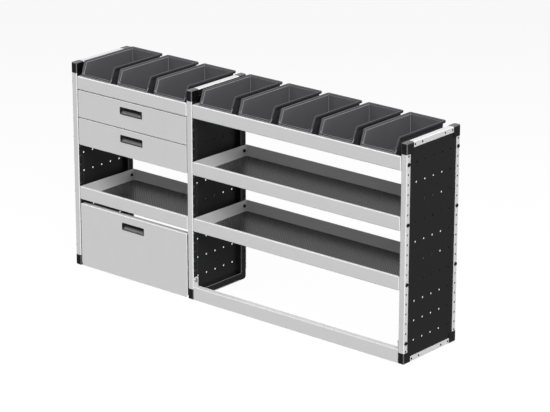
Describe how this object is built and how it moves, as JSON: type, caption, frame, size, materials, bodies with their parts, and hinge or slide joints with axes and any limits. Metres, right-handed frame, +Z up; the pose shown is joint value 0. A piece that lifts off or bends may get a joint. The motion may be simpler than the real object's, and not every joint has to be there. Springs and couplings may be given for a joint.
{
  "type": "van racking system",
  "caption": "Van racking with perforated uprights, lipped trays with rubber mats, open-front bins, pull-out drawers and a drop-down flap.",
  "frame": {"origin": "floor level, at the middle of the rack's width and depth", "axes": "+Z up, +X along the rack to the right as seen from the front, -Y to the front where the drawers and the flap open"},
  "size_m": [1.972, 0.377, 1.0092],
  "materials": {
    "light_grey": "satin light grey powder coat",
    "black_coat": "matt black powder coat",
    "black_plastic": "moulded, fine texture",
    "bin_plastic": "moulded, satin",
    "rubber_mat": "ribbed rubber",
    "zinc_steel": "zinc plated"
  },
  "bodies": {
    "frame": {"upright_left_pan": "black_coat", "upright_left_front_trim": "light_grey", "upright_left_rear_trim": "light_grey", "upright_left_top_trim": "light_grey", "upright_left_bottom_trim": "light_grey", "upright_left_cap_front_top": "black_plastic", "upright_left_cap_front_bottom": "black_plastic", "upright_left_cap_rear_top": "black_plastic", "upright_left_cap_rear_bottom": "black_plastic", "upright_middle_pan": "black_coat", "upright_middle_front_trim": "light_grey", "upright_middle_rear_trim": "light_grey", "upright_middle_top_trim": "light_grey", "upright_middle_bottom_trim": "light_grey", "upright_middle_cap_front_top": "black_plastic", "upright_middle_cap_front_bottom": "black_plastic", "upright_middle_cap_rear_top": "black_plastic", "upright_middle_cap_rear_bottom": "black_plastic", "upright_right_pan": "black_coat", "upright_right_front_trim": "light_grey", "upright_right_rear_trim": "light_grey", "upright_right_top_trim": "light_grey", "upright_right_bottom_trim": "light_grey", "upright_right_cap_front_top": "black_plastic", "upright_right_cap_front_bottom": "black_plastic", "upright_right_cap_rear_top": "black_plastic", "upright_right_cap_rear_bottom": "black_plastic", "tray_left_upper": "light_grey", "tray_left_lower": "light_grey", "tray_right_upper": "light_grey", "tray_right_middle": "light_grey", "tray_right_lower": "light_grey", "mat_left_lower": "rubber_mat", "mat_right_middle": "rubber_mat", "mat_right_lower": "rubber_mat", "rail_bottom": "light_grey", "drawer_housing": "black_coat", "flap_threshold": "light_grey"},
    "bin_left_1": {"bin_left_1": "bin_plastic"},
    "bin_left_2": {"bin_left_2": "bin_plastic"},
    "bin_left_3": {"bin_left_3": "bin_plastic"},
    "bin_right_1": {"bin_right_1": "bin_plastic"},
    "bin_right_2": {"bin_right_2": "bin_plastic"},
    "bin_right_3": {"bin_right_3": "bin_plastic"},
    "bin_right_4": {"bin_right_4": "bin_plastic"},
    "bin_right_5": {"bin_right_5": "bin_plastic"},
    "drawer_lower": {"drawer_lower_front": "light_grey", "drawer_lower_box": "light_grey", "drawer_lower_handle": "black_plastic"},
    "slides_lower": {"slide_lower_left_middle": "zinc_steel", "slide_lower_right_middle": "zinc_steel"},
    "drawer_upper": {"drawer_upper_front": "light_grey", "drawer_upper_box": "light_grey", "drawer_upper_handle": "black_plastic"},
    "slides_upper": {"slide_upper_left_middle": "zinc_steel", "slide_upper_right_middle": "zinc_steel"},
    "flap": {"flap_leaf": "light_grey", "flap_handle": "black_plastic"}
  },
  "joints": [
    {"name": "bin_left_1_lift", "type": "slide", "parent": "frame", "child": "bin_left_1", "axis": [0, 0, 1], "range_m": [0, 0.16]},
    {"name": "bin_left_2_lift", "type": "slide", "parent": "frame", "child": "bin_left_2", "axis": [0, 0, 1], "range_m": [0, 0.16]},
    {"name": "bin_left_3_lift", "type": "slide", "parent": "frame", "child": "bin_left_3", "axis": [0, 0, 1], "range_m": [0, 0.16]},
    {"name": "bin_right_1_lift", "type": "slide", "parent": "frame", "child": "bin_right_1", "axis": [0, 0, 1], "range_m": [0, 0.16]},
    {"name": "bin_right_2_lift", "type": "slide", "parent": "frame", "child": "bin_right_2", "axis": [0, 0, 1], "range_m": [0, 0.16]},
    {"name": "bin_right_3_lift", "type": "slide", "parent": "frame", "child": "bin_right_3", "axis": [0, 0, 1], "range_m": [0, 0.16]},
    {"name": "bin_right_4_lift", "type": "slide", "parent": "frame", "child": "bin_right_4", "axis": [0, 0, 1], "range_m": [0, 0.16]},
    {"name": "bin_right_5_lift", "type": "slide", "parent": "frame", "child": "bin_right_5", "axis": [0, 0, 1], "range_m": [0, 0.16]},
    {"name": "drawer_lower_slide", "type": "slide", "parent": "frame", "child": "drawer_lower", "axis": [0, -1, 0], "range_m": [0, 0.28]},
    {"name": "slides_lower_slide", "type": "slide", "parent": "frame", "child": "slides_lower", "axis": [0, -1, 0], "range_m": [0, 0.14]},
    {"name": "drawer_upper_slide", "type": "slide", "parent": "frame", "child": "drawer_upper", "axis": [0, -1, 0], "range_m": [0, 0.28]},
    {"name": "slides_upper_slide", "type": "slide", "parent": "frame", "child": "slides_upper", "axis": [0, -1, 0], "range_m": [0, 0.14]},
    {"name": "flap_hinge", "type": "hinge", "parent": "frame", "child": "flap", "pos_m": [-0.6095, -0.1824, 0.008], "axis": [1, 0, 0], "range_deg": [0, 90]}
  ],
  "couplings": [
    {"joint": "slides_lower_slide", "follows": "drawer_lower_slide", "ratio": 0.5},
    {"joint": "slides_upper_slide", "follows": "drawer_upper_slide", "ratio": 0.5}
  ]
}
